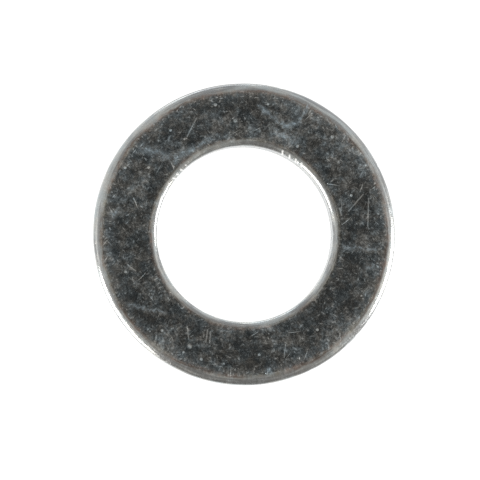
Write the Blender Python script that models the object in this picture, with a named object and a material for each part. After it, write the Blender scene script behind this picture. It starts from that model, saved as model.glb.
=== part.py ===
"""Flat washer for a 10 mm bolt: one ring stamped from steel strip, then tumbled and zinc plated.

Metres, +Z up. The origin is the centre of the bore on the plane of the underside, and +Z
points to the face whose two edges the die rolled over. The ring is one turned profile.
Seen in section, each of its walls has the three zones of a punched edge, from the top:
the die roll, the straight burnished band and the fracture zone, which runs out to the
underside at a slight taper. Tumbling has taken the burr off both lower corners.
"""

import math

import bmesh
import bpy

# Overall sizes
OUTER_DIAMETER = 0.0180
BORE_DIAMETER = 0.0105
THICKNESS = 0.0016

# Die rolls at the upper corners of the rim and of the bore. A power of 2 makes each roll a
# quarter ellipse, and a higher one lets it leave the flat face more gently.
RIM_ROLL_WIDTH = 0.00070
RIM_ROLL_DEPTH = 0.00028
BORE_ROLL_WIDTH = 0.00058
BORE_ROLL_DEPTH = 0.00024
ROLL_POWER = 2.25

# Burnished bands, and how far each fracture zone leans into the metal below its band
BURNISH_HEIGHT = 0.00045
RIM_FRACTURE_TAPER = 0.00004
BORE_FRACTURE_TAPER = 0.00004

# Rounding that tumbling leaves on the two lower corners, a plain quarter circle
CORNER_RADIUS = 0.00008
ROUND_POWER = 2.0

# Smoothness of the turned shape
TURN_STEPS = 120
ROLL_STEPS = 6
CORNER_STEPS = 2

# Zinc plate over steel
ZINC_COLOUR = (0.56, 0.57, 0.58, 1.0)
ZINC_ROUGHNESS = 0.32
SHARP_ANGLE = math.radians(40)


def clear_scene():
    for item in list(bpy.data.objects):
        bpy.data.objects.remove(item, do_unlink=True)


def eased(share, power):
    """A sine or cosine raised so that a circle through it becomes a superellipse."""
    return math.copysign(abs(share) ** (2 / power), share)


def quarter_curve(centre, half_width, half_height, start_degrees, steps, power):
    """Points (radius, height) of a quarter turn clockwise from start_degrees, both ends included."""
    points = []
    for step in range(steps + 1):
        angle = math.radians(start_degrees - 90.0 * step / steps)
        radius = centre[0] + half_width * eased(math.cos(angle), power)
        height = centre[1] + half_height * eased(math.sin(angle), power)
        points.append((radius, height))
    return points


def rim_profile():
    """The outer wall from the top face down to the underside."""
    radius = OUTER_DIAMETER / 2
    foot_radius = radius - RIM_FRACTURE_TAPER
    roll_centre = (radius - RIM_ROLL_WIDTH, THICKNESS - RIM_ROLL_DEPTH)
    burnish_end = (radius, THICKNESS - RIM_ROLL_DEPTH - BURNISH_HEIGHT)
    corner_centre = (foot_radius - CORNER_RADIUS, CORNER_RADIUS)
    roll = quarter_curve(roll_centre, RIM_ROLL_WIDTH, RIM_ROLL_DEPTH, 90.0, ROLL_STEPS, ROLL_POWER)
    corner = quarter_curve(corner_centre, CORNER_RADIUS, CORNER_RADIUS, 0.0, CORNER_STEPS, ROUND_POWER)
    return roll + [burnish_end] + corner


def bore_profile():
    """The inner wall from the underside up to the top face."""
    radius = BORE_DIAMETER / 2
    foot_radius = radius + BORE_FRACTURE_TAPER
    roll_centre = (radius + BORE_ROLL_WIDTH, THICKNESS - BORE_ROLL_DEPTH)
    burnish_end = (radius, THICKNESS - BORE_ROLL_DEPTH - BURNISH_HEIGHT)
    corner_centre = (foot_radius + CORNER_RADIUS, CORNER_RADIUS)
    roll = quarter_curve(roll_centre, BORE_ROLL_WIDTH, BORE_ROLL_DEPTH, 180.0, ROLL_STEPS, ROLL_POWER)
    corner = quarter_curve(corner_centre, CORNER_RADIUS, CORNER_RADIUS, 270.0, CORNER_STEPS, ROUND_POWER)
    return corner + [burnish_end] + roll


def zinc_plate():
    material = bpy.data.materials.new("zinc_plated_steel")
    material.use_nodes = True
    shader = material.node_tree.nodes["Principled BSDF"]
    shader.inputs["Base Color"].default_value = ZINC_COLOUR
    shader.inputs["Roughness"].default_value = ZINC_ROUGHNESS
    shader.inputs["Metallic"].default_value = 1.0
    return material


def washer():
    """Turns the closed profile about the bore's axis into one ring."""
    profile = bmesh.new()
    corners = [profile.verts.new((radius, 0.0, height)) for radius, height in rim_profile() + bore_profile()]
    for index, corner in enumerate(corners):
        profile.edges.new((corner, corners[(index + 1) % len(corners)]))
    mesh = bpy.data.meshes.new("washer")
    profile.to_mesh(mesh)
    profile.free()

    ring = bpy.data.objects.new("washer", mesh)
    bpy.context.scene.collection.objects.link(ring)
    turn = ring.modifiers.new("turn", "SCREW")
    turn.axis = "Z"
    turn.angle = math.radians(360)
    turn.screw_offset = 0.0
    turn.steps = TURN_STEPS
    turn.render_steps = TURN_STEPS
    turn.use_merge_vertices = True
    turn.merge_threshold = 0.000001

    bpy.context.view_layer.objects.active = ring
    ring.select_set(True)
    bpy.ops.object.modifier_apply(modifier=turn.name)
    ring.data.shade_smooth()
    ring.data.set_sharp_from_angle(angle=SHARP_ANGLE)
    ring.data.materials.append(zinc_plate())
    return ring


clear_scene()
washer()
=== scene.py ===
# %% [markdown]
# # A zinc-plated flat washer
# This lesson dresses a plain CAD washer in the finish that a real one has. A washer is
# punched from steel strip, tumbled with thousands of others until its burrs are gone, and
# plated with bright zinc. What makes it look real is the shape of its punched edges, the
# marks that tumbling leaves, and studio light that gives bare metal something to reflect.

# %% Load the CAD model
import math

import bmesh
import bpy
from mathutils import Matrix, Vector


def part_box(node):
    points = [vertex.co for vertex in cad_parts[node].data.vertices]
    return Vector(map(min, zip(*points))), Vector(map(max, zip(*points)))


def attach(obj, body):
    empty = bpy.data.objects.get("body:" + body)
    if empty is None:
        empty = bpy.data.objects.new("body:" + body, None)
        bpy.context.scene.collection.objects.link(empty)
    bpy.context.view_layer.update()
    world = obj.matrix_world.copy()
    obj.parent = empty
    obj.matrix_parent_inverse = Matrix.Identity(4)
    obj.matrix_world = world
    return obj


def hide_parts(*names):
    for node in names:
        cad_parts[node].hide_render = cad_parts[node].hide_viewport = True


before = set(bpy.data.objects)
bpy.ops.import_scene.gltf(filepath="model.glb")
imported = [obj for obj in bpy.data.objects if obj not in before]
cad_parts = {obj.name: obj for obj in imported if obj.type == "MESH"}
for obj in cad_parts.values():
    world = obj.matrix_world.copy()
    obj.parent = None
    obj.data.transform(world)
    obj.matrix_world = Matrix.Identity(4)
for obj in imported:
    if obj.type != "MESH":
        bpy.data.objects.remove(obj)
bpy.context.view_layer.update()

MM = 0.001

# %% [markdown]
# ## Read the ring's sizes
# Sizes that are already in the CAD model are never typed again, because two copies of a
# number drift apart. The corners of the CAD mesh hold every size of the ring's section, so
# they are sorted here by how far they are from the axis and how high they lie.

# %% Measure the CAD ring
TINY = 0.002 * MM
cad_points = [point.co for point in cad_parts["washer"].data.vertices]


def radius_of(point):
    return math.hypot(point.x, point.y)


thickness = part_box("washer")[1].z
rim_radius = max(map(radius_of, cad_points))
bore_radius = min(map(radius_of, cad_points))
upper_land = [radius_of(p) for p in cad_points if p.z > thickness - TINY]
lower_land = [radius_of(p) for p in cad_points if p.z < TINY]
rim_wall = [p.z for p in cad_points if radius_of(p) > rim_radius - TINY]
bore_wall = [p.z for p in cad_points if radius_of(p) < bore_radius + TINY]

rim_roll = (rim_radius - max(upper_land), thickness - max(rim_wall))
bore_roll = (min(upper_land) - bore_radius, thickness - max(bore_wall))
burnish_foot = min(rim_wall)
roll_points = [p for p in cad_points if radius_of(p) > max(upper_land) and p.z > max(rim_wall)]
roll_shares = [
    ((radius_of(p) - max(upper_land)) / rim_roll[0], (p.z - max(rim_wall)) / rim_roll[1]) for p in roll_points
]
roll_middle = min(roll_shares, key=lambda share: abs(share[0] - share[1]))[0]
print(f"rim {rim_radius / MM:.2f} mm, bore {bore_radius / MM:.2f} mm, {thickness / MM:.2f} mm thick")
print(f"rolled edges {rim_roll[0] / MM:.2f} and {bore_roll[0] / MM:.2f} mm wide, fullness {roll_middle:.3f}")

# %% [markdown]
# ## Draw the section
# A washer is the same all the way round, so it can be made as one small drawing that is
# turned about the bore's axis. A cylinder with a hole cut through it would also give a
# ring, but its faces would be single large polygons, with nothing in them to dent or
# roughen. The drawing starts as a plane stood on edge, with only its outline kept.

# %% Small helpers for working in edit mode


def start_clean():
    """Leaves edit mode and deselects everything, because operators act on all that is selected."""
    if bpy.context.object and bpy.context.object.mode != "OBJECT":
        bpy.ops.object.mode_set(mode="OBJECT")
    bpy.ops.object.select_all(action="DESELECT")


def pick(test, kind="VERT"):
    """In edit mode, selects the points or the edges whose middle passes the test, and no others."""
    bpy.ops.mesh.select_mode(type=kind)
    bpy.ops.mesh.select_all(action="DESELECT")
    shape = bmesh.from_edit_mesh(bpy.context.edit_object.data)
    picked = 0
    for item in shape.verts if kind == "VERT" else shape.edges:
        middle = item.co if kind == "VERT" else (item.verts[0].co + item.verts[1].co) / 2
        if test(middle):
            item.select_set(True)
            picked += 1
    shape.select_flush_mode()
    bmesh.update_edit_mesh(bpy.context.edit_object.data)
    return picked


def near(value, target, slack=TINY):
    return abs(value - target) < slack


# %% Outline of the strip's section
start_clean()
section_width = rim_radius - bore_radius
section_middle = (rim_radius + bore_radius) / 2
bpy.ops.mesh.primitive_plane_add(
    size=1, location=(section_middle, 0, thickness / 2), rotation=(math.pi / 2, 0, 0)
)
ring = bpy.context.object
ring.name = "washer_ring"
ring.data.name = "washer_ring"
ring.scale = (section_width, thickness, 1)
bpy.ops.object.transform_apply(location=True, rotation=True, scale=True)
bpy.ops.object.mode_set(mode="EDIT")
bpy.ops.mesh.select_all(action="SELECT")
bpy.ops.mesh.delete(type="ONLY_FACE")
print("section outline:", len(ring.data.vertices), "corners")

# %% [markdown]
# ## Give the section its punched edges
# A punch first drags the skin of the strip down, which leaves a rounded die roll, then
# shears a smooth burnished band, and then the rest tears. The torn zone leans in a little.
# The rolls are cut with the bevel operator on one corner each and squashed to their depth.

# %% Lean the torn zone and round the corners
CORNER = 0.08 * MM
ROLL_CUTS = 14
CORNER_CUTS = 3
rim_foot = max(lower_land) + CORNER
bore_foot = min(lower_land) - CORNER
edges = ((rim_radius, rim_foot, rim_roll), (bore_radius, bore_foot, bore_roll))

# A bevel's profile value is the square of the share of its width that its middle reaches.
for wall, foot, (width, depth) in edges:
    pick(lambda p: near(p.x, wall), kind="EDGE")
    bpy.ops.mesh.subdivide(number_cuts=1)
    pick(lambda p: near(p.x, wall) and near(p.z, thickness / 2))
    bpy.ops.transform.translate(value=(0, 0, burnish_foot - thickness / 2))
    pick(lambda p: near(p.x, wall) and near(p.z, 0))
    bpy.ops.transform.translate(value=(foot - wall, 0, 0))
    bpy.ops.mesh.bevel(affect="VERTICES", offset=CORNER, segments=CORNER_CUTS)
    pick(lambda p: near(p.x, wall) and near(p.z, thickness))
    bpy.ops.mesh.bevel(affect="VERTICES", offset=width, segments=ROLL_CUTS, profile=roll_middle**2)
    pick(lambda p: near(p.x, wall, width - TINY) and p.z > burnish_foot + TINY)
    bpy.ops.transform.resize(value=(1, 1, depth / width), center_override=(wall, 0, thickness))

print("rounded outline:", len(bmesh.from_edit_mesh(ring.data).verts), "corners")

# %% Cut the long stretches into short ones
UPPER_CUTS = 37
LOWER_CUTS = 25
BURNISH_CUTS = 6
TORN_CUTS = 12
land_middle = (max(upper_land) + min(upper_land)) / 2
burnish_middle = (burnish_foot + max(rim_wall)) / 2
torn_middle = (burnish_foot + CORNER) / 2

pick(lambda p: near(p.z, thickness) and near(p.x, land_middle, CORNER), kind="EDGE")
bpy.ops.mesh.subdivide(number_cuts=UPPER_CUTS)
pick(lambda p: near(p.z, 0) and near(p.x, land_middle, CORNER), kind="EDGE")
bpy.ops.mesh.subdivide(number_cuts=LOWER_CUTS)
for wall, foot, roll in edges:
    pick(lambda p: near(p.x, wall) and near(p.z, burnish_middle, CORNER), kind="EDGE")
    bpy.ops.mesh.subdivide(number_cuts=BURNISH_CUTS)
    pick(lambda p: near(p.x, wall, CORNER) and near(p.z, torn_middle, CORNER), kind="EDGE")
    bpy.ops.mesh.subdivide(number_cuts=TORN_CUTS)
print("finished section:", len(bmesh.from_edit_mesh(ring.data).verts), "corners")

# %% [markdown]
# ## Turn the section into a ring
# The spin operator would sweep the outline round the bore's axis, but it slows down badly
# over many steps. The Screw modifier makes the same ring at once and joins its last copy to
# its first. A turned shape can come out with its faces pointing inwards, so the normals are
# worked out afresh.

# %% Turn it
TURN_STEPS = 720
bpy.ops.object.mode_set(mode="OBJECT")
turn = ring.modifiers.new("turn", "SCREW")
turn.steps = turn.render_steps = TURN_STEPS
turn.use_merge_vertices = True
turn.merge_threshold = TINY / 10
bpy.ops.object.modifier_apply(modifier=turn.name)
bpy.ops.object.mode_set(mode="EDIT")
bpy.ops.mesh.select_all(action="SELECT")
bpy.ops.mesh.normals_make_consistent(inside=False)
bpy.ops.object.mode_set(mode="OBJECT")
bpy.ops.object.shade_smooth()
print("ring:", sum(len(face.vertices) - 2 for face in ring.data.polygons), "triangles")

# %% [markdown]
# ## Roughen what was torn
# The lower part of each wall is torn metal, so its points are shaken a little at random. The
# faces are flat to the eye, but a real strip was rolled and then knocked about, so the whole
# ring gets slow waves a few thousandths of a millimetre high, from a Displace modifier. Bare
# metal shows even such waves, because they bend what it reflects.

# %% Shake the torn zones and wave the ring
TORN_SHAKE = 0.004 * MM
WAVE_LENGTH = 1.3 * MM
WAVE_HEIGHT = 0.016 * MM


def on_torn_wall(point):
    out = radius_of(point)
    return CORNER < point.z < burnish_foot - TINY and not bore_foot + TINY < out < rim_foot - TINY


bpy.ops.object.mode_set(mode="EDIT")
print("torn zones:", pick(on_torn_wall), "points")
bpy.ops.transform.vertex_random(offset=TORN_SHAKE, uniform=0.2, normal=0.8, seed=4)
bpy.ops.object.mode_set(mode="OBJECT")

swell = bpy.data.textures.new("swell", "CLOUDS")
swell.noise_scale = WAVE_LENGTH
swell.noise_depth = 2
waves = ring.modifiers.new("waves", "DISPLACE")
waves.texture = swell
waves.texture_coords = "LOCAL"
waves.strength = WAVE_HEIGHT
bpy.ops.object.modifier_apply(modifier=waves.name)
print(f"waves up to {WAVE_HEIGHT / 2 / MM:.3f} mm high")

# %% [markdown]
# ## Nick the edges
# Hard steel edges knock against each other in the tumbler, and the thin lip at the foot of
# each die roll chips first. Proportional editing makes such a nick: one spot is pushed
# into the metal, and its neighbours follow less and less with distance.

# %% Nicks in the rim and in the bore
NICK_REACH = 0.13 * MM
NICK_DEPTH = 0.035 * MM
BORE_NICKS = (14, 33, 51, 54, 58, 63, 131, 135, 139, 144, 149, 183, 188, 196, 262, 322)
RIM_NICKS = (27, 76, 158, 233, 238, 296, 313, 318, 325, 341)


def nick(wall, foot_of_roll, inward, degrees):
    """Pushes the metal in at one place on an edge."""
    turn = math.radians(degrees)
    out = Vector((math.cos(turn), math.sin(turn), 0))
    spot = out * wall + Vector((0, 0, foot_of_roll))
    pick(lambda p: near(p.z, spot.z, NICK_REACH / 2) and (p - spot).length < NICK_REACH / 3)
    bpy.ops.transform.translate(
        value=out * inward * NICK_DEPTH,
        use_proportional_edit=True,
        proportional_edit_falloff="SMOOTH",
        proportional_size=NICK_REACH,
    )


bpy.ops.object.mode_set(mode="EDIT")
for degrees in BORE_NICKS:
    nick(bore_radius, thickness - bore_roll[1], 1, degrees)
for degrees in RIM_NICKS:
    nick(rim_radius, thickness - rim_roll[1], -1, degrees)
bpy.ops.object.mode_set(mode="OBJECT")
print(len(BORE_NICKS), "nicks in the bore's edge and", len(RIM_NICKS), "in the rim's")

# %% [markdown]
# ## Helpers for shader nodes
# A node tree is a drawing of boxes and wires, and a few helpers keep it short to write. The
# first adds a box and fills its inputs with plain values or with wires, and the others are
# for the boxes used most. Places are measured in millimetres, because a scratch has a real
# size, and heights in thousandths of a millimetre.

# %% Boxes, wires and sums


def box(tree, kind, sources=(), **settings):
    """Adds a node with these settings, and fills its inputs with sockets or plain values."""
    made = tree.nodes.new(kind)
    for name, value in settings.items():
        setattr(made, name, value)
    for name, value in dict(sources).items():
        if isinstance(value, bpy.types.NodeSocket):
            tree.links.new(value, made.inputs[name])
        else:
            made.inputs[name].default_value = value
    return made


def maths(tree, operation, *values):
    return box(tree, "ShaderNodeMath", enumerate(values), operation=operation).outputs[0]


def vector_maths(tree, operation, *values):
    made = box(tree, "ShaderNodeVectorMath", enumerate(values), operation=operation)
    return made.outputs["Value" if operation in ("LENGTH", "DOT_PRODUCT") else "Vector"]


def scaled(tree, vector, factor):
    return box(tree, "ShaderNodeVectorMath", {0: vector, "Scale": factor}, operation="SCALE").outputs[0]


def fade(tree, value, start, end, low=0.0, high=1.0):
    """Goes smoothly from low, where value is at start, to high, where it is at end."""
    sources = {"Value": value, "From Min": start, "From Max": end, "To Min": low, "To Max": high}
    return box(tree, "ShaderNodeMapRange", sources, interpolation_type="SMOOTHSTEP").outputs[0]


def noise(tree, place, scale, detail=2.0, gain=0.5, warp=0.0):
    sources = {"Vector": place, "Scale": scale, "Detail": detail, "Roughness": gain, "Distortion": warp}
    return box(tree, "ShaderNodeTexNoise", sources).outputs["Fac"]


# %% Colours and node groups


def blend(tree, share, first, second):
    """Mixes two colours."""
    return box(tree, "ShaderNodeMix", {0: share, 6: first, 7: second}, data_type="RGBA").outputs[2]


def rgb(red, green, blue):
    return (red, green, blue, 1.0)


SOCKETS = {float: "NodeSocketFloat", tuple: "NodeSocketVector"}


def new_group(name, inputs, outputs):
    """A node group with named inputs, given with their defaults, and named outputs."""
    tree = bpy.data.node_groups.new(name, "ShaderNodeTree")
    for socket, default in inputs.items():
        made = tree.interface.new_socket(socket, in_out="INPUT", socket_type=SOCKETS[type(default)])
        made.default_value = default
    for socket in outputs:
        tree.interface.new_socket(socket, in_out="OUTPUT", socket_type="NodeSocketFloat")
    return tree, tree.nodes.new("NodeGroupInput").outputs, tree.nodes.new("NodeGroupOutput").inputs


def use(tree, group, **sources):
    """Places a node group in a tree, fills its inputs, and gives its outputs."""
    return box(tree, "ShaderNodeGroup", sources, node_tree=group).outputs


# %% [markdown]
# ## Scattered marks
# Tumbled parts strike each other all over, so their marks lie in every direction and no two
# are the same. A Voronoi texture scatters one point in each cell and gives each a random
# colour. Here that colour turns, bends and weighs a small ellipse drawn round the point.
# Long thin ellipses are scratches, and short wide ones are pits.

# %% Group: scattered marks
marks, given, result = new_group(
    "scattered_marks",
    {"Place": (0.0, 0.0, 0.0), "Spacing": 1.0, "Length": 0.5, "Width": 0.05, "Share": 0.5, "Seed": 0.0},
    ["Mask"],
)
spot = scaled(marks, given["Place"], maths(marks, "DIVIDE", 1.0, given["Spacing"]))
spot = vector_maths(marks, "ADD", spot, given["Seed"])
cells = box(marks, "ShaderNodeTexVoronoi", {"Vector": spot, "Scale": 1.0}, voronoi_dimensions="2D").outputs
chance = box(marks, "ShaderNodeSeparateColor", {0: cells["Color"]}).outputs
local = vector_maths(marks, "SUBTRACT", spot, cells["Position"])
angle = maths(marks, "MULTIPLY", chance[0], math.pi)
turned = box(marks, "ShaderNodeVectorRotate", {"Vector": local, "Angle": angle}, rotation_type="Z_AXIS")
axes = box(marks, "ShaderNodeSeparateXYZ", {0: turned.outputs[0]}).outputs
along = maths(marks, "DIVIDE", axes[0], given["Length"])
bow = maths(marks, "MULTIPLY", maths(marks, "SUBTRACT", chance[1], 0.5), maths(marks, "POWER", along, 2.0))
bowed = maths(marks, "MULTIPLY_ADD", bow, maths(marks, "MULTIPLY", given["Length"], 0.25), axes[1])
across = maths(marks, "DIVIDE", bowed, given["Width"])
reach = vector_maths(marks, "LENGTH", box(marks, "ShaderNodeCombineXYZ", {0: along, 1: across}).outputs[0])
weight = maths(marks, "MULTIPLY_ADD", maths(marks, "POWER", chance[1], 2.0), 0.85, 0.15)
there = maths(marks, "MULTIPLY", maths(marks, "LESS_THAN", chance[2], given["Share"]), weight)
marks.links.new(maths(marks, "MULTIPLY", fade(marks, reach, 1.0, 0.15), there), result["Mask"])
print("scattered_marks:", len(marks.nodes), "nodes")

# %% [markdown]
# ## Placed marks
# A few marks are large enough to tell one washer from another: long scratches, dents, and
# the milky trails that rinse water leaves when it dries. Each is a stroke from one point to
# another. The group measures how far a place is from that line and fades over the width.

# %% Group: placed stroke
stroke, given, result = new_group(
    "placed_stroke",
    {"Place": (0.0, 0.0, 0.0), "Start": (0.0, 0.0, 0.0), "End": (1.0, 0.0, 0.0), "Width": 0.05},
    ["Mask"],
)
run = vector_maths(stroke, "SUBTRACT", given["End"], given["Start"])
reached = vector_maths(stroke, "SUBTRACT", given["Place"], given["Start"])
run_squared = maths(stroke, "MAXIMUM", vector_maths(stroke, "DOT_PRODUCT", run, run), 0.0001)
part_way = maths(stroke, "DIVIDE", vector_maths(stroke, "DOT_PRODUCT", reached, run), run_squared)
clamped = box(stroke, "ShaderNodeClamp", {"Value": part_way}).outputs[0]
off_line = vector_maths(stroke, "SUBTRACT", reached, scaled(stroke, run, clamped))
distance = vector_maths(stroke, "LENGTH", off_line)
stroke.links.new(fade(stroke, distance, given["Width"], 0.0), result["Mask"])
print("placed_stroke:", len(stroke.nodes), "nodes")

# %% [markdown]
# ## Tumbled grain
# Between the marks the plating is a fine grit, brighter in some patches than in others.
# Three layers of noise are added up: clouds some two millimetres wide, a mottle inside them,
# and the grit itself. The haze says how far the surface has gone from mirror to matt, and
# the height gives the relief that makes each grain catch its own part of the room. The seed
# moves the clouds and the mottle, so that the palest patches lie where this washer has them.

# %% Group: tumbled grain
grain, given, result = new_group(
    "tumbled_grain", {"Place": (0.0, 0.0, 0.0), "Relief": 60.0, "Seed": 0.0}, ["Haze", "Height"]
)
MEAN_HAZE = 0.36
sown = vector_maths(grain, "ADD", given["Place"], given["Seed"])
clouds = maths(grain, "SUBTRACT", noise(grain, sown, 0.45, 4, 0.75), 0.5)
mottle = maths(grain, "SUBTRACT", noise(grain, sown, 2.2, 3, 0.8), 0.5)
grit = maths(grain, "SUBTRACT", noise(grain, given["Place"], 7.0, 2, 0.8), 0.5)
mixed = maths(grain, "MULTIPLY_ADD", clouds, 1.3, MEAN_HAZE)
mixed = maths(grain, "MULTIPLY_ADD", mottle, 1.5, mixed)
mixed = maths(grain, "MULTIPLY_ADD", grit, 0.85, mixed)
haze = maths(grain, "POWER", box(grain, "ShaderNodeClamp", {"Value": mixed}).outputs[0], 2.0)
swell = maths(grain, "SUBTRACT", noise(grain, given["Place"], 0.45, 8, 0.55), 0.5)
height = maths(grain, "MULTIPLY", swell, given["Relief"])
grain.links.new(haze, result["Haze"])
grain.links.new(height, result["Height"])
print("tumbled_grain:", len(grain.nodes), "nodes")

# %% [markdown]
# ## Streaks that follow the ring
# A punch draws lines down the walls and combs the rolled edges, and the die leaves fine rings
# round them. Both patterns follow the ring, so the place is first turned into a direction
# from the axis, which has no seam, and a distance from it. The noise is then stretched along
# one or the other. Its middle is moved to zero, because a height that is faded in with a
# mask must swing both ways, or the mask itself would show as a slope.

# %% Group: turned streaks
streaks, given, result = new_group(
    "turned_streaks",
    {"Place": (0.0, 0.0, 0.0), "Around": 1.0, "Across": 1.0, "Upright": 0.0},
    ["Streaks"],
)
MIDDLE_OF_FACE = land_middle / MM
flattened = vector_maths(streaks, "MULTIPLY", given["Place"], (1.0, 1.0, 0.0))
arc = maths(streaks, "MULTIPLY", given["Around"], MIDDLE_OF_FACE)
heading = scaled(streaks, vector_maths(streaks, "NORMALIZE", flattened), arc)
upright = box(streaks, "ShaderNodeSeparateXYZ", {0: given["Place"]}).outputs["Z"]
outwards = maths(streaks, "MULTIPLY", vector_maths(streaks, "LENGTH", flattened), given["Across"])
steps = maths(streaks, "MULTIPLY_ADD", upright, given["Upright"], outwards)
stretched = vector_maths(streaks, "ADD", heading, box(streaks, "ShaderNodeCombineXYZ", {2: steps}).outputs[0])
centred = maths(streaks, "SUBTRACT", noise(streaks, stretched, 1.0, 3, 0.65), 0.5)
streaks.links.new(centred, result["Streaks"])
print("turned_streaks:", len(streaks.nodes), "nodes")

# %% [markdown]
# ## List the marks that tell this washer from others
# Each mark is given by its angle round the ring in degrees and its distance from the axis in
# millimetres, which is how it would be measured on the bench. A scratch, a dried trail and a
# painted highlight on the bore's lip have two ends and a width, and a dent has one place and a width.

# %% Scratches and dents
SCRATCHES = (
    ((3.5, 7.36), (16, 7.69), 0.05), ((12.5, 6.35), (18.5, 7.45), 0.05), ((121, 6.73), (113, 7.45), 0.06),
    ((195, 7.21), (199, 6.88), 0.06), ((238, 6.5), (242, 7.12), 0.06), ((250, 6.85), (248.7, 6.14), 0.06),
    ((252, 6.8), (250.6, 6.2), 0.05), ((287.5, 7.69), (290, 7.03), 0.06), ((294, 7.57), (292.8, 7.33), 0.07),
    ((306, 8.52), (307, 8.22), 0.07), ((128, 7.3), (129.5, 7.2), 0.09), ((11, 5.87), (15, 5.87), 0.08),
)
DENTS = (
    (95, 6.76, 0.15), (103, 7.87, 0.12), (126, 7.57, 0.1), (145.8, 6.94, 0.1), (151.5, 8.11, 0.1),
    (48, 7.81, 0.12), (20, 6.76, 0.1), (80, 7.87, 0.1), (59, 6.1, 0.12), (198, 7.45, 0.1),
    (229.5, 7.57, 0.1), (244, 7.48, 0.15), (250.8, 7.9, 0.1), (276.6, 7.24, 0.1), (307, 7.15, 0.1),
)
print(len(SCRATCHES), "scratches and", len(DENTS), "dents")

# %% Dried trails, and painted highlights on the bore's lip
DRIED_TRAILS = (
    ((63.6, 8.5), (65, 7.3), 0.3), ((65, 7.3), (70, 6.8), 0.3), ((70, 6.85), (84, 7.65), 0.3),
    ((74, 6.3), (62, 6.2), 0.5), ((140, 7.9), (134, 6.0), 0.65), ((134, 6.3), (130, 5.9), 0.4),
    ((212, 8.05), (217, 7.45), 0.3), ((217, 7.45), (224, 6.68), 0.3), ((345, 7.57), (345.5, 7.87), 0.35),
    ((353, 7.75), (352, 6.0), 0.3), ((133, 6.1), (110, 6.0), 0.4), ((279, 8.4), (280, 8.2), 0.4),
    ((170, 7.6), (172, 7.9), 0.45),
)
# Painted highlights: near-white spots on the bore's lip that stand in for the lamps glinting in its nicks.
PAINTED_LIP_GLINTS = (
    ((64.8, 5.26), (65.6, 5.42), 0.1), ((59.6, 5.26), (60.4, 5.38), 0.09), ((54.9, 5.26), (55.7, 5.38), 0.09),
    ((53.3, 5.26), (53.9, 5.34), 0.08), ((50.2, 5.26), (51.2, 5.4), 0.1),
    ((130.9, 5.36), (131.2, 5.39), 0.07), ((135, 5.32), (135.5, 5.38), 0.09),
    ((138.7, 5.32), (139.1, 5.37), 0.09), ((142, 5.3), (142.6, 5.37), 0.09),
)
print(len(DRIED_TRAILS), "pieces of dried trail and", len(PAINTED_LIP_GLINTS), "painted_glints")

# %% [markdown]
# ## Begin the plated face
# Bare metal shows only what it reflects, so its look comes from three things that vary over
# it: how rough it is, how much of it is covered with salts, and its colour. They share a few
# places to read: the point itself, the same point flattened, because the marks are drawn on
# a plane, and a wavering copy that gives trails and stains an uneven edge.

# %% Places on the face
face_zinc = bpy.data.materials.new("plated_face")
face_zinc.use_nodes = True
tree = face_zinc.node_tree
shader = tree.nodes["Principled BSDF"]

place = scaled(tree, box(tree, "ShaderNodeTexCoord").outputs["Object"], 1 / MM)
flat = vector_maths(tree, "MULTIPLY", place, (1.0, 1.0, 0.0))
radius = vector_maths(tree, "LENGTH", flat)
upper_side = fade(tree, box(tree, "ShaderNodeSeparateXYZ", {0: place}).outputs["Z"], 0.5, 0.7)
WAVER = 0.5
shiver = box(tree, "ShaderNodeTexNoise", {"Vector": flat, "Scale": 1.4, "Detail": 5.0, "Roughness": 0.65})
shiver = vector_maths(tree, "SUBTRACT", shiver.outputs["Color"], (0.5, 0.5, 0.5))
wavering = vector_maths(tree, "MULTIPLY_ADD", shiver, (WAVER, WAVER, 0.0), flat)

CLOUD_SEED = 70.3
FACE_RELIEF = 60.0
grains = use(tree, grain, Place=place, Relief=FACE_RELIEF, Seed=CLOUD_SEED)
haze = grains["Haze"]
height = grains["Height"]
print("plated_face begins with", len(tree.nodes), "nodes")

# %% [markdown]
# ## Draw the placed marks
# Every mark in the lists becomes one stroke, and the strongest of them is kept at each
# place, so that marks that cross don't add up. They are drawn on the upper side only. A
# dried trail is broken up by a fine noise, because salts dry in specks.

# %% Strokes on the upper side


def polar(degrees, out):
    """A place on the face, in millimetres, from its angle and its distance from the axis."""
    return (out * math.cos(math.radians(degrees)), out * math.sin(math.radians(degrees)), 0.0)


def strokes(tree, place, listed, allowed):
    """The strongest of the listed strokes at each place, where they are allowed."""
    top = 0.0
    for start, end, width in listed:
        drawn = use(tree, stroke, Place=place, Start=polar(*start), End=polar(*end), Width=width)["Mask"]
        top = maths(tree, "MAXIMUM", drawn, top)
    return maths(tree, "MULTIPLY", top, allowed)


scratches = strokes(tree, flat, SCRATCHES, upper_side)
dents = strokes(tree, flat, [((turn, out), (turn, out), width) for turn, out, width in DENTS], upper_side)
# The lip's glints are painted highlights, not marks on the metal.
painted_glints = strokes(tree, flat, PAINTED_LIP_GLINTS, upper_side)
trails = strokes(tree, wavering, DRIED_TRAILS, upper_side)

TRAIL_CORE = 0.8
TRAIL_HALO = 0.45
halo = maths(tree, "MULTIPLY", trails, TRAIL_HALO)
trails = maths(tree, "MULTIPLY_ADD", maths(tree, "POWER", trails, 3.0), TRAIL_CORE, halo)
trails = maths(tree, "MULTIPLY", trails, fade(tree, noise(tree, flat, 4.0, 4, 0.8), 0.3, 0.7))
print("plated_face with its placed marks:", len(tree.nodes), "nodes")

# %% [markdown]
# ## Wear along both edges
# The face is palest next to its rolled edges, where other parts rub it most. That fringe has
# no clean border: a broad noise moves it in and out, and short strands comb it towards the
# edge. The rolled edges themselves are polished, with rings from the die and fine combing
# across them, and little of the face's own relief is left there. Both start where the CAD
# ring's flat face ends, which is where the metal begins to bend.

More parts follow.
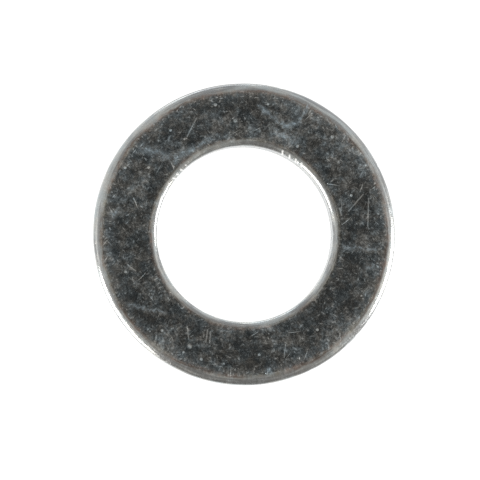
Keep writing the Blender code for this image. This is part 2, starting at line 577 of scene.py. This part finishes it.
# %% Fringe, rings and combing
rim_bend = max(upper_land) / MM
bore_bend = min(upper_land) / MM
FRAY = 1.4
INNER_WEAR = 0.6
wander = maths(tree, "SUBTRACT", noise(tree, flat, 0.3, 3, 0.6), 0.5)
frayed = maths(tree, "MULTIPLY_ADD", wander, FRAY, radius)
outer_edge = fade(tree, frayed, rim_bend - 0.6, rim_bend + 0.2)
inner_edge = fade(tree, frayed, bore_bend + 0.27, bore_bend - 0.23, 0.0, INNER_WEAR)
edge_wear = maths(tree, "MAXIMUM", outer_edge, inner_edge)
strands = use(tree, streaks, Place=place, Around=11.0, Across=1.6)["Streaks"]
fringe = maths(tree, "MULTIPLY", edge_wear, fade(tree, strands, -0.2, 0.2, 0.2, 1.6))

# %% Rolled edges
RING_HEIGHT = 10.0
COMBING_HEIGHT = 3.0
RELIEF_LEFT = 0.3
rim_rolled = fade(tree, radius, rim_bend, rim_bend + rim_roll[0] / MM / 2)
bore_rolled = fade(tree, radius, bore_bend, bore_bend - bore_roll[0] / MM / 2)
rolled = maths(tree, "MAXIMUM", rim_rolled, bore_rolled)
rings = use(tree, streaks, Place=place, Around=0.3, Across=5.0)["Streaks"]
combing = use(tree, streaks, Place=place, Around=8.0, Across=0.9)["Streaks"]
combed = maths(tree, "MULTIPLY", combing, COMBING_HEIGHT)
turned = maths(tree, "MULTIPLY_ADD", rings, RING_HEIGHT, combed)
height = maths(tree, "MULTIPLY", height, fade(tree, rolled, 0.0, 1.0, 1.0, RELIEF_LEFT))
height = maths(tree, "MULTIPLY_ADD", turned, rolled, height)
print(f"the rolled edges begin {bore_bend:.2f} and {rim_bend:.2f} mm from the axis")

# %% [markdown]
# ## Knocks from the tumbler
# Five layers of scattered marks go from dense specks under two tenths of a millimetre long to
# hairlines of a millimetre and round pits. Each row gives the spacing in millimetres, half
# the length and half the width of an ellipse as shares of the spacing, the share of cells
# that have one, its depth in thousandths of a millimetre, and a seed. Some patches of the
# face are struck more than others, and the fringe most of all.

# %% Scattered knocks
KNOCKS = (
    (0.21, 0.40, 0.24, 0.9, 1.7, 3.1),
    (0.30, 0.42, 0.17, 0.8, 2.3, 8.7),
    (0.42, 0.46, 0.09, 0.8, 2.8, 26.4),
    (1.10, 0.50, 0.02, 0.6, 3.6, 33.3),
    (0.70, 0.12, 0.11, 0.3, 4.5, 44.0),
)
knocks = 0.0
for spacing, length, width, share, depth, seed in KNOCKS:
    mask = use(
        tree, marks, Place=flat, Spacing=spacing, Length=length, Width=width, Share=share, Seed=seed
    )["Mask"]
    knocks = maths(tree, "MULTIPLY_ADD", mask, depth, knocks)
CALM_PATCH = 0.4
STRUCK_PATCH = 1.35
FRINGE_KNOCKS = 0.9
ROLL_KNOCKS = 0.4
patches = fade(tree, noise(tree, flat, 0.7, 4, 0.7), 0.35, 0.65, CALM_PATCH, STRUCK_PATCH)
patches = maths(tree, "MULTIPLY_ADD", edge_wear, FRINGE_KNOCKS, patches)
patches = maths(tree, "MULTIPLY", patches, fade(tree, rolled, 0.0, 1.0, 1.0, ROLL_KNOCKS))
knocks = maths(tree, "MULTIPLY", knocks, patches)
print(len(KNOCKS), "layers of knocks")

# %% [markdown]
# ## Relief, roughness, salts and painted glints
# Relief a few thousandths of a millimetre deep can't be modelled over the whole face, so a
# Bump node bends the light instead. A knock is also rougher than the metal round it. Salts
# and scuffed zinc scatter light as chalk does, so wherever there are some the metallic value
# drops a little. It drops most on the painted glints of the bore's lip, so that their
# near-white colour shows as a painted highlight.

# %% Bump
SCRATCH_DEPTH = 3.0
DENT_DEPTH = 12.0
MICRON = 0.001 * MM
height = maths(tree, "SUBTRACT", height, knocks)
height = maths(tree, "MULTIPLY_ADD", scratches, -SCRATCH_DEPTH, height)
height = maths(tree, "MULTIPLY_ADD", dents, -DENT_DEPTH, height)


def bend_light(tree, shader, height):
    """Gives a shader the relief of this height, in thousandths of a millimetre."""
    bump = box(tree, "ShaderNodeBump", {"Height": height, "Distance": MICRON, "Strength": 1.0})
    tree.links.new(bump.outputs["Normal"], shader.inputs["Normal"])


bend_light(tree, shader, height)

# %% Roughness and metallic value
SMOOTHEST = 0.15
ROUGHEST = 0.42
ROLL_DULLNESS = 1.25
MOST_SALTS_AND_GLINT_PAINT = 0.9
dulled = maths(tree, "MULTIPLY_ADD", knocks, 0.13, haze)
rough = box(tree, "ShaderNodeMapRange", {"Value": dulled, "To Min": SMOOTHEST, "To Max": ROUGHEST}).outputs[0]
rough = maths(tree, "MULTIPLY_ADD", trails, 0.08, rough)
rough = maths(tree, "MULTIPLY", rough, fade(tree, rolled, 0.0, 1.0, 1.0, ROLL_DULLNESS))
tree.links.new(rough, shader.inputs["Roughness"])

# Real salts on the face, plus the painted glints, which lose most of their metallic value so that their white
# shows as a painted highlight.
salts_and_painted_glints = 0.0
for mask, amount in (
    (haze, 0.10), (knocks, 0.03), (fringe, 0.075), (trails, 0.14), (scratches, 0.2), (dents, 0.25),
    (painted_glints, 0.8),
):
    salts_and_painted_glints = maths(tree, "MULTIPLY_ADD", mask, amount, salts_and_painted_glints)
salts_and_painted_glints = maths(tree, "MINIMUM", salts_and_painted_glints, MOST_SALTS_AND_GLINT_PAINT)
tree.links.new(maths(tree, "SUBTRACT", 1.0, salts_and_painted_glints), shader.inputs["Metallic"])
print("plated_face with relief, roughness and salts:", len(tree.nodes), "nodes")

# %% [markdown]
# ## Colour of the film
# Bright zinc has a thin passivation film, which makes it drift between bluish and straw. The
# rolled edges are a little warmer, and the die's rings show on them as greyer lines.

# %% Film and rings
BLUISH = rgb(0.50, 0.58, 0.62)
STRAW = rgb(0.59, 0.60, 0.58)
WARM_ROLL = rgb(0.60, 0.59, 0.55)
RING_GREY = rgb(0.31, 0.31, 0.31)
colour = blend(tree, fade(tree, noise(tree, place, 1.2, 4, 0.7), 0.38, 0.62), BLUISH, STRAW)
colour = blend(tree, maths(tree, "MULTIPLY", rolled, 0.5), colour, WARM_ROLL)
in_rings = maths(tree, "MULTIPLY", rolled, fade(tree, rings, -0.05, 0.08, 0.0, 0.8))
colour = blend(tree, in_rings, colour, RING_GREY)
print("the film runs from", BLUISH[:3], "to", STRAW[:3])

# %% [markdown]
# ## Stains along the edges
# Rinse water gathers where the face bends into a rolled edge and leaves a brownish stain. A
# dark line runs in the outer bend in places, where dirt has stayed in it. Last come the milky
# trails and the painted highlights on the bore's lip. The base colour is then complete, and
# the ring gets the material.

# %% Stains, trails and painted highlights
BROWN = rgb(0.55, 0.41, 0.35)
OLIVE = rgb(0.52, 0.50, 0.41)
GROOVE_DIRT = rgb(0.22, 0.15, 0.12)
MILKY = rgb(0.50, 0.63, 0.72)
# Near-white colour for the lip's glints: a painted highlight.
PAINTED_GLINT_WHITE = rgb(0.95, 0.95, 0.93)


def band(tree, value, centre, half_width):
    """One on a line round the ring, going down to nothing at half a width from it."""
    gap = maths(tree, "ABSOLUTE", maths(tree, "SUBTRACT", value, centre))
    return fade(tree, gap, half_width, 0.0)


wandering = vector_maths(tree, "LENGTH", wavering)
outer_stain = band(tree, wandering, rim_bend + 0.15, 0.26)
inner_stain = band(tree, wandering, bore_bend - 0.17, 0.18)
specks = fade(tree, noise(tree, place, 2.5, 4, 0.75), 0.35, 0.65)
browned = maths(tree, "MULTIPLY", maths(tree, "MAXIMUM", outer_stain, inner_stain), specks)
stain = blend(tree, fade(tree, noise(tree, flat, 0.25, 2, 0.5), 0.4, 0.6), BROWN, OLIVE)
colour = blend(tree, maths(tree, "MULTIPLY", browned, 0.65), colour, stain)

in_places = fade(tree, noise(tree, flat, 0.35, 3, 0.6), 0.4, 0.6)
groove = maths(tree, "MULTIPLY", band(tree, wandering, rim_bend + 0.23, 0.1), in_places)
colour = blend(tree, maths(tree, "MULTIPLY", groove, 0.6), colour, GROOVE_DIRT)
colour = blend(tree, maths(tree, "MULTIPLY", trails, 0.7), colour, MILKY)
# Painted highlight: the lip's glints are coloured near-white.
colour = blend(tree, painted_glints, colour, PAINTED_GLINT_WHITE)
tree.links.new(colour, shader.inputs["Base Color"])
ring.data.materials.append(face_zinc)
print("plated_face:", len(tree.nodes), "nodes")

# %% [markdown]
# ## The punched walls
# Below the rolled edge a wall has two finishes. The burnished band was ironed against the
# punch, so it is smooth and has fine upright lines. The torn zone under it is dull and
# granular, with small dark pits. The line between them wanders, so the height is disturbed
# by noise before it chooses one or the other.

# %% Where the burnished band ends, and the relief of both
wall_zinc = bpy.data.materials.new("punched_wall")
wall_zinc.use_nodes = True
tree = wall_zinc.node_tree
shader = tree.nodes["Principled BSDF"]

place = scaled(tree, box(tree, "ShaderNodeTexCoord").outputs["Object"], 1 / MM)
WALL_RELIEF = 20.0
grains = use(tree, grain, Place=place, Relief=WALL_RELIEF)
level = box(tree, "ShaderNodeSeparateXYZ", {0: place}).outputs["Z"]
draw_lines = use(tree, streaks, Place=place, Around=7.0, Across=0.5, Upright=0.4)["Streaks"]
border = use(tree, streaks, Place=place, Around=1.6, Across=0.0)["Streaks"]
BORDER_WANDER = 0.3
BORDER_BLUR = 0.05
ragged = maths(tree, "MULTIPLY_ADD", border, BORDER_WANDER, level)
torn = fade(tree, ragged, burnish_foot / MM + BORDER_BLUR, burnish_foot / MM - BORDER_BLUR)

LINE_HEIGHT = 4.0
TORN_HEIGHT = 22.0
burnished_height = maths(tree, "MULTIPLY_ADD", draw_lines, LINE_HEIGHT, grains["Height"])
torn_height = maths(tree, "MULTIPLY", noise(tree, place, 5.0, 4, 0.6), TORN_HEIGHT)
bend_light(tree, shader, maths(tree, "MULTIPLY_ADD", torn_height, torn, burnished_height))
print(f"the burnished band ends {burnish_foot / MM:.2f} mm above the underside")

# %% Roughness and colour of the walls
WALL_BLUISH = rgb(0.58, 0.61, 0.63)
WALL_STRAW = rgb(0.63, 0.63, 0.60)
LINE_GREY = rgb(0.38, 0.38, 0.38)
PIT_GREY = rgb(0.24, 0.23, 0.22)
rough = maths(tree, "MULTIPLY_ADD", grains["Haze"], 0.2, 0.18)
rough = maths(tree, "MULTIPLY_ADD", draw_lines, 0.2, rough)
rough = maths(tree, "MULTIPLY_ADD", torn, 0.25, rough)
tree.links.new(rough, shader.inputs["Roughness"])
metal = maths(tree, "SUBTRACT", 0.97, maths(tree, "MULTIPLY", torn, 0.17))
tree.links.new(metal, shader.inputs["Metallic"])

colour = blend(tree, fade(tree, noise(tree, place, 1.1, 4, 0.7), 0.36, 0.64), WALL_BLUISH, WALL_STRAW)
colour = blend(tree, fade(tree, draw_lines, 0.0, 0.2, 0.0, 0.6), colour, LINE_GREY)
pits = maths(tree, "MULTIPLY", torn, fade(tree, noise(tree, place, 4.5, 3, 0.7), 0.5, 0.7, 0.0, 0.65))
colour = blend(tree, pits, colour, PIT_GREY)
tree.links.new(colour, shader.inputs["Base Color"])
ring.data.materials.append(wall_zinc)
print("punched_wall:", len(tree.nodes), "nodes")

# %% [markdown]
# ## Give each face its material
# The ring starts with the plated face everywhere, because that was its first material. A
# face that stands upright, between the rounded foot and the rolled edge, belongs to a wall.

# %% Give the walls their material
WALL_SLANT = 0.5
lowest_roll = thickness - max(rim_roll[1], bore_roll[1])
walls = 0
for face in ring.data.polygons:
    if abs(face.normal.z) < WALL_SLANT and CORNER < face.center.z < lowest_roll:
        face.material_index = 1
        walls += 1
print(walls, "faces are walls")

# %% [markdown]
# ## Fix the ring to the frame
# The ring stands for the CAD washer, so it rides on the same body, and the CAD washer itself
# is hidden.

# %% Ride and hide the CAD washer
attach(ring, "root")
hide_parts("washer")
print(ring.name, "stands for the CAD washer")

# %% [markdown]
# ## A floor that stays white
# A small part is often shot on a light table, which glows by itself, so no shadow falls round
# the part. Here the floor is paper that glows: nearly all glow when the camera looks at it,
# and somewhat less for the light that it sends up at the metal.

# %% Floor
start_clean()
FLOOR_RADIUS = 0.5
PAPER = rgb(0.85, 0.85, 0.85)
FLOOR_GLOW = 1.18
GLOW_SHARE_FOR_METAL = 0.75
GLOW_SHARE_FOR_CAMERA = 0.93
bpy.ops.mesh.primitive_circle_add(vertices=96, radius=FLOOR_RADIUS, fill_type="NGON", location=(0, 0, 0))
floor = bpy.context.object
floor.name = "studio_floor"
paper = bpy.data.materials.new("pale_paper")
paper.use_nodes = True
tree = paper.node_tree
tree.nodes.clear()
direct = box(tree, "ShaderNodeLightPath").outputs["Is Camera Ray"]
matt = box(tree, "ShaderNodeBsdfDiffuse", {"Color": PAPER}).outputs[0]
glow = box(tree, "ShaderNodeEmission", {"Color": rgb(1, 1, 1), "Strength": FLOOR_GLOW}).outputs[0]
glow_share = fade(tree, direct, 0.0, 1.0, GLOW_SHARE_FOR_METAL, GLOW_SHARE_FOR_CAMERA)
seen = box(tree, "ShaderNodeMixShader", {0: glow_share, 1: matt, 2: glow}).outputs[0]
box(tree, "ShaderNodeOutputMaterial", {"Surface": seen})
floor.data.materials.append(paper)
print(f"floor: {FLOOR_RADIUS * 2:.0f} m across")

# %% [markdown]
# ## A room for the metal to reflect
# A flat mirror seen from above reflects whatever hangs over it. Here that is a dark flag, a
# black cloth behind the lens, so the face comes out dark and its marks stand out. Farther
# from the flag the room gets paler, and the rolled edges reflect that part. A colour ramp
# over the angle from the flag's middle draws both.

# %% World: the flag and the walls round it
world = bpy.data.worlds.new("studio_room")
bpy.context.scene.world = world
world.use_nodes = True
tree = world.node_tree
tree.nodes.clear()
FLAG_SLANT = math.radians(5.2)
FLAG_TURN = math.radians(38)
ROOM_TONES = (
    (8, rgb(0.026, 0.026, 0.027)),
    (13, rgb(0.18, 0.16, 0.14)),
    (20, rgb(0.44, 0.44, 0.44)),
    (60, rgb(0.49, 0.49, 0.50)),
    (90, rgb(0.54, 0.56, 0.59)),
)


def direction(slant, turn):
    """The unit vector that leans this far from straight up, towards this compass angle."""
    return Vector((math.sin(slant) * math.cos(turn), math.sin(slant) * math.sin(turn), math.cos(slant)))


flag_way = direction(FLAG_SLANT, FLAG_TURN)
way = box(tree, "ShaderNodeTexCoord").outputs["Generated"]
slant = maths(tree, "ARCCOSINE", vector_maths(tree, "DOT_PRODUCT", way, flag_way))
tones = box(tree, "ShaderNodeValToRGB", {0: maths(tree, "DIVIDE", slant, math.pi)})
tones.color_ramp.interpolation = "EASE"
tones.color_ramp.elements[0].color = rgb(0.02, 0.021, 0.022)
tones.color_ramp.elements[1].color = rgb(0.5, 0.5, 0.5)
for degrees, tone in ROOM_TONES:
    tones.color_ramp.elements.new(degrees / 180).color = tone
print(len(tones.color_ramp.elements), "tones in the room")

# %% [markdown]
# ## Make the room uneven
# A real room is brighter towards its window and warmer away from it, and that is why one
# side of a rolled edge is paler than the other. The walls to the left and right get a little
# more light, too. The camera itself sees plain white.

# %% World: brighter to one side
DIMMEST = 0.35
BRIGHTEST = 1.3
SIDE_GLOW = 0.7
WARM_SIDE = rgb(1.0, 0.95, 0.87)
COOL_SIDE = rgb(0.97, 1.0, 1.02)
parts = box(tree, "ShaderNodeSeparateXYZ", {0: way}).outputs
northern = box(tree, "ShaderNodeMapRange", {"Value": parts["Y"], "From Min": -1, "From Max": 1}).outputs[0]
levels = {"Value": northern, "To Min": DIMMEST, "To Max": BRIGHTEST}
strength = box(tree, "ShaderNodeMapRange", levels).outputs[0]
strength = maths(tree, "MULTIPLY_ADD", maths(tree, "ABSOLUTE", parts["X"]), SIDE_GLOW, strength)
cast = blend(tree, northern, WARM_SIDE, COOL_SIDE)
mixing = {0: 1.0, 6: tones.outputs[0], 7: cast}
lit = box(tree, "ShaderNodeMix", mixing, data_type="RGBA", blend_type="MULTIPLY")
room = box(tree, "ShaderNodeBackground", {"Color": lit.outputs[2], "Strength": strength}).outputs[0]
white = box(tree, "ShaderNodeBackground", {"Color": rgb(1, 1, 1)}).outputs[0]
direct = box(tree, "ShaderNodeLightPath").outputs["Is Camera Ray"]
either = box(tree, "ShaderNodeMixShader", {0: direct, 1: room, 2: white}).outputs[0]
box(tree, "ShaderNodeOutputWorld", {"Surface": either})
print("studio_room:", len(tree.nodes), "nodes")

# %% [markdown]
# ## Lamps
# Two softboxes stand low on either side. Each is mirrored as a bright crescent in the rolled
# edges and in the bore's wall. A dim card above each of them widens its crescent, and a low
# window at the back puts a thin cool line on the far rim. Brightness is given as radiance,
# which is what a mirror shows, and turned into watts from the lamp's area.

# %% Lights


def softbox(name, azimuth, elevation, size, radiance, colour=(1.0, 1.0, 1.0)):
    """A rectangular lamp facing the washer, placed by its compass angle and elevation in degrees."""
    lamp = bpy.data.lights.new(name, "AREA")
    lamp.shape = "RECTANGLE"
    lamp.size, lamp.size_y = size
    lamp.energy = radiance * math.pi * lamp.size * lamp.size_y
    lamp.color = colour
    holder = bpy.data.objects.new(name, lamp)
    bpy.context.scene.collection.objects.link(holder)
    away = direction(math.radians(90 - elevation), math.radians(azimuth))
    holder.location = away * LAMP_DISTANCE
    holder.rotation_euler = away.to_track_quat("Z", "Y").to_euler()
    print(f"{name}: {lamp.energy:.3f} W")


LAMP_DISTANCE = 0.16
softbox("left_softbox", 212, 24, (0.08, 0.07), 12, (1.0, 0.99, 0.97))
softbox("right_softbox", 350, 24, (0.07, 0.07), 12)
softbox("back_window", 98, 11, (0.11, 0.04), 1.9, (0.95, 0.98, 1.0))
softbox("left_card", 195, 50, (0.10, 0.07), 0.4)
softbox("right_card", 0, 50, (0.10, 0.07), 0.25)

# %% [markdown]
# ## Camera
# The washer is shot from nearly straight above. The small tilt shows a narrow strip of the
# bore's wall at the upper right, and next to nothing of the outer wall. A long lens from afar
# keeps the circles almost true. The distance follows from the share of the picture that the
# rim fills.

# %% Camera
bpy.context.scene.view_settings.view_transform = "Standard"
LENS = 135
SENSOR = 36
RIM_SHARE = 0.632
TILT = math.radians(5.2)
TILT_TOWARDS = math.radians(218)
camera_distance = 2 * rim_radius / RIM_SHARE * LENS / SENSOR
AIM_LEFT = 0.31 * MM
AIM_DOWN = 0.39 * MM
aim = Vector((-AIM_LEFT, -AIM_DOWN, thickness))
back = direction(TILT, TILT_TOWARDS)
right = Vector((0, 1, 0)).cross(back).normalized()
up = back.cross(right)
turn = Matrix((right, up, back)).transposed().to_4x4()
camera_data = bpy.data.cameras.new("camera")
camera_data.lens = LENS
camera_data.sensor_width = SENSOR
camera_data.clip_start = 0.001
camera_data.clip_end = 5
camera = bpy.data.objects.new("camera", camera_data)
bpy.context.scene.collection.objects.link(camera)
camera.matrix_world = Matrix.Translation(aim + back * camera_distance) @ turn
bpy.context.scene.camera = camera
print(f"camera {camera_distance / MM:.1f} mm away")
